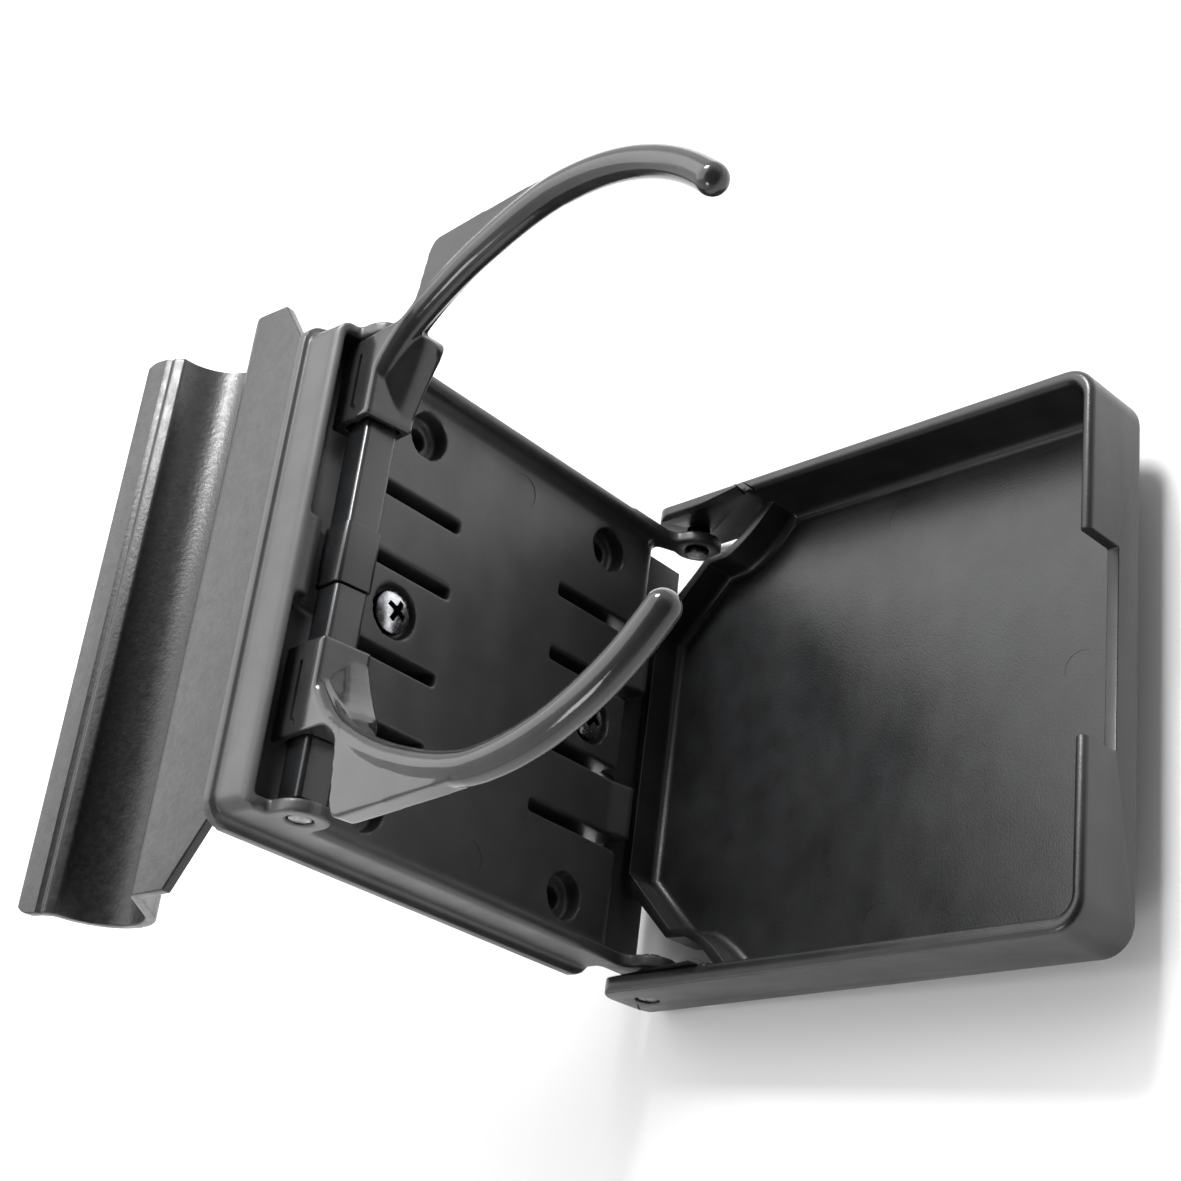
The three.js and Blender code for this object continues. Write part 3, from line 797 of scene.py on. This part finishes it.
def build_arm(side, centre):
    block = rounded(-BLOCK_BACK, -BLOCK_TOP, BLOCK_FRONT, BLOCK_TOP, 0.5, 4)
    arm = prism([(-y, z) for y, z in block], from_side, -BLOCK_HALF, BLOCK_HALF)
    join(arm, front_shell(), arm_web(), finger())
    bore = rectangle(-BORE_HALF, -BORE_HALF, BORE_HALF, BORE_HALF)
    cut(arm, prism(bore, from_side, *THROUGH))
    blended(arm, voxel=0.3, iterations=8, keep=0.4)
    if side == "left":
        arm.data.transform(Matrix.Scale(-1, 4, (1, 0, 0)))
        arm.data.flip_normals()
    groove = [(5.2, 0.1), (5.2, 0.9), (-5.5, 0.9), (-7, -0.6), (-6.4, -1.2), (-5.1, 0.1)]
    cut(arm, prism(groove, from_above, 4.0, 9))
    shaded_smooth(arm, 50)
    place = BAR @ Matrix.Translation((centre, 0, 0))
    finished(arm, f"arm_{side}_moulding", place, f"{side}_arm", f"arm_{side}", arm_plastic)


# ---- bracket -----------------------------------------------------------------------------------

SHEET = 2
FLANGE_BOTTOM = 15
SHELF_TOP = 103.6
RIDGE = 27
TROUGH = (42, 100.5)
TROUGH_INNER = 9.5
BRACKET_HALF = 57.6
LIP_RISE = math.atan2(0.8, 4.9)


def bracket_profile():
    """The bent sheet seen from the side: flange, shelf, half-round trough and lip."""
    front = PLATE_THICKNESS + 0.3
    back = front + SHEET
    across, fall = TROUGH[0] - RIDGE, TROUGH[1] - SHELF_TOP
    slope = math.atan2(fall, across) - math.asin(TROUGH_INNER / math.hypot(across, fall))
    entry = math.degrees(slope) + 270
    under = (SHEET * math.sin(LIP_RISE), -SHEET * math.cos(LIP_RISE))
    shelf_under = SHELF_TOP - SHEET
    return (
        [(front, FLANGE_BOTTOM), (back, FLANGE_BOTTOM), (back, shelf_under)]
        + [(RIDGE + SHEET * math.tan(slope / 2), shelf_under)]
        + arc(*TROUGH, TROUGH_INNER + SHEET, entry, 356, 40)
        + [(55.1 + under[0], 102.9 + under[1]), (60 + under[0], 103.7 + under[1]), (60, 103.7)]
        + [(55.2, 102.95), (54.2, 102.1), (53.4, 102.45)]
        + arc(*TROUGH, TROUGH_INNER, 364, entry, 40)
        + curve((RIDGE + 1.3, SHELF_TOP - 1.45), (RIDGE, SHELF_TOP), (RIDGE - 1.9, SHELF_TOP))
        + curve((front + 1.8, SHELF_TOP), (front, SHELF_TOP), (front, SHELF_TOP - 1.8))
    )


def build_bracket():
    bracket = prism(bracket_profile(), from_side, -BRACKET_HALF, BRACKET_HALF)
    wing = [(45.6, 2), (45.6, 9.5), (BRACKET_HALF, 18.2)]
    plan = both_sides(wing + arc(BRACKET_HALF - 4, 57, 4, 0, 90, 10))
    combine(bracket, "INTERSECT", prism(plan, from_above, 0, 200))
    for z in SCREWS:
        cut(bracket, prism(disc(0, z, SCREW_HOLE, BORE_STEPS), from_front, -20, 0))

    soften(bracket, 0.35, 40)
    finished(bracket, "hook_bracket_sheet", HOLDER, "holder", "hook_bracket", bracket_coat)


# ---- screws ------------------------------------------------------------------------------------

HEAD_SEAT = 1.9
HEAD_RADIUS = 4.2
HEAD_HEIGHT = 2.6
CROWN_DROP = 1.4
SHANK_RADIUS = 2
SHANK_END = -7.3
RECESS_HALF = (2.5, 0.62)
RECESS_TURN = math.radians(25)


def screw_blank(z):
    """The shank and the domed pan head."""
    crown = []
    for radius in (4.1, 3.9, 3.6, 3.2, 2.6, 1.9, 1.0):
        crown.append((radius, HEAD_HEIGHT - CROWN_DROP * (radius / HEAD_RADIUS) ** 3.2))
    shank = [(0, SHANK_END), (1.7, SHANK_END), (SHANK_RADIUS, -6.9), (SHANK_RADIUS, 0)]
    edge = [(4.05, 0), (HEAD_RADIUS, 0.15), (HEAD_RADIUS, 1.0)]
    return turned(shank + edge + crown + [(0, HEAD_HEIGHT)], (0, HEAD_SEAT, z))


def recess_blade(z, crossed):
    """A cutter for one slot of the cross recess, narrower towards its floor."""
    long, wide = RECESS_HALF
    corners = [(long, -wide), (long, wide), (-long, wide), (-long, -wide)]
    if crossed:
        corners = [(-b, a) for a, b in corners]
    rings = []
    for drop, share in ((1, 0.55), (0, 0.95), (-0.5, 1.05)):
        rings.append([(a * share, -0.7 + 2.1 * drop, z + b * share) for a, b in corners])
    blade = loft(rings)
    turn = Matrix.Rotation(RECESS_TURN, 4, "Y")
    blade.data.transform(Matrix.Translation((0, 0, z)) @ turn @ Matrix.Translation((0, 0, -z)))
    return blade


def build_screws():
    for name, z in zip(("upper", "lower"), SCREWS):
        screw = screw_blank(z)
        cut(screw, recess_blade(z, False), recess_blade(z, True))
        shaded_smooth(screw, 32)
        node = f"screw_{name}"
        finished(screw, f"{node}_machined", HOLDER, "holder", node, screw_plating)


build_plate()
build_tray()
build_bar()
for side, sign in (("left", -1), ("right", 1)):
    low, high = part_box(f"arm_{side}")
    outermost = high.x if sign > 0 else low.x
    build_arm(side, outermost / MM - sign * ARM_REACH)
build_bracket()
build_screws()

# ---- studio ------------------------------------------------------------------------------------

HEADING = math.radians(33.75)
DIP = math.radians(-40.84)
ROLL = math.radians(58.83)
AHEAD = Vector((math.sin(HEADING) * math.cos(DIP), math.cos(HEADING) * math.cos(DIP), math.sin(DIP)))
CAMERA_PLACE = Vector((-149.2, -271.3, 249.8))
FLOOR_HALF = 3.0
FLOOR_GAP = 0.001
LAMPS = (
    ("key", (0.8, -0.02, 0.8), 0.3, 15),
    ("overhead", (0.4, 0.5, 0.95), 1.4, 13),
    ("left", (-0.9, 0.1, 0.6), 0.3, 2.5),
)
LAMP_TARGET = Vector((0, -0.04, 0))


def pale_floor():
    """A plain floor just below the lowest piece."""
    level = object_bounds()[0][2] - FLOOR_GAP
    square = rectangle(-FLOOR_HALF, -FLOOR_HALF, FLOOR_HALF, FLOOR_HALF)
    mesh = bpy.data.meshes.new("floor")
    mesh.from_pydata([(x, y, level) for x, y in square], [], [(0, 1, 2, 3)])
    floor = bpy.data.objects.new("floor", mesh)
    bpy.context.scene.collection.objects.link(floor)
    paint = Nodes("floor_paint")
    paint.drive(paint.mixed(paint.noise(6, 2), (0.84, 0.84, 0.84), (0.87, 0.87, 0.87)), "Base Color")
    paint.shader.inputs["Roughness"].default_value = 0.8
    mesh.materials.append(paint.material)


def white_surround():
    """White light from all round that fades out behind the camera, to keep the gloss dark."""
    world = bpy.data.worlds.new("studio")
    bpy.context.scene.world = world
    world.use_nodes = True
    tree = world.node_tree
    background = tree.nodes["Background"]
    background.inputs["Color"].default_value = (1, 1, 1, 1)
    direction = tree.nodes.new("ShaderNodeTexCoord").outputs["Generated"]
    toward = tree.nodes.new("ShaderNodeVectorMath")
    toward.operation = "DOT_PRODUCT"
    toward.inputs[1].default_value = -AHEAD
    fade = tree.nodes.new("ShaderNodeMapRange")
    fade.interpolation_type = "SMOOTHSTEP"
    for end, value in (("From Min", 0.25), ("From Max", 0.85), ("To Min", 1.25), ("To Max", 0.07)):
        fade.inputs[end].default_value = value
    tree.links.new(direction, toward.inputs[0])
    tree.links.new(toward.outputs["Value"], fade.inputs["Value"])
    tree.links.new(fade.outputs["Result"], background.inputs["Strength"])


def soft_lamps():
    for name, place, size, power in LAMPS:
        light = bpy.data.lights.new(name, "AREA")
        light.size = size
        light.energy = power
        lamp = bpy.data.objects.new(name, light)
        lamp.location = place
        lamp.rotation_euler = (LAMP_TARGET - Vector(place)).to_track_quat("-Z", "Y").to_euler()
        bpy.context.scene.collection.objects.link(lamp)


def camera():
    """The viewing angle: from above and the left, rolled by nearly 59 degrees."""
    level_up = (Vector((0, 0, 1)) - AHEAD * AHEAD.z).normalized()
    right = AHEAD.cross(level_up)
    up = level_up * math.cos(ROLL) + right * math.sin(ROLL)
    data = bpy.data.cameras.new("camera")
    data.lens = 63.32
    data.sensor_width = 36
    data.clip_start = 0.01
    viewer = bpy.data.objects.new("camera", data)
    turn = Matrix((AHEAD.cross(up), up, -AHEAD)).transposed().to_4x4()
    viewer.matrix_world = Matrix.Translation(CAMERA_PLACE * MM) @ turn
    bpy.context.scene.collection.objects.link(viewer)
    bpy.context.scene.camera = viewer


pale_floor()
white_surround()
soft_lamps()
camera()
bpy.context.scene.view_settings.view_transform = "Standard"
bpy.context.view_layer.update()
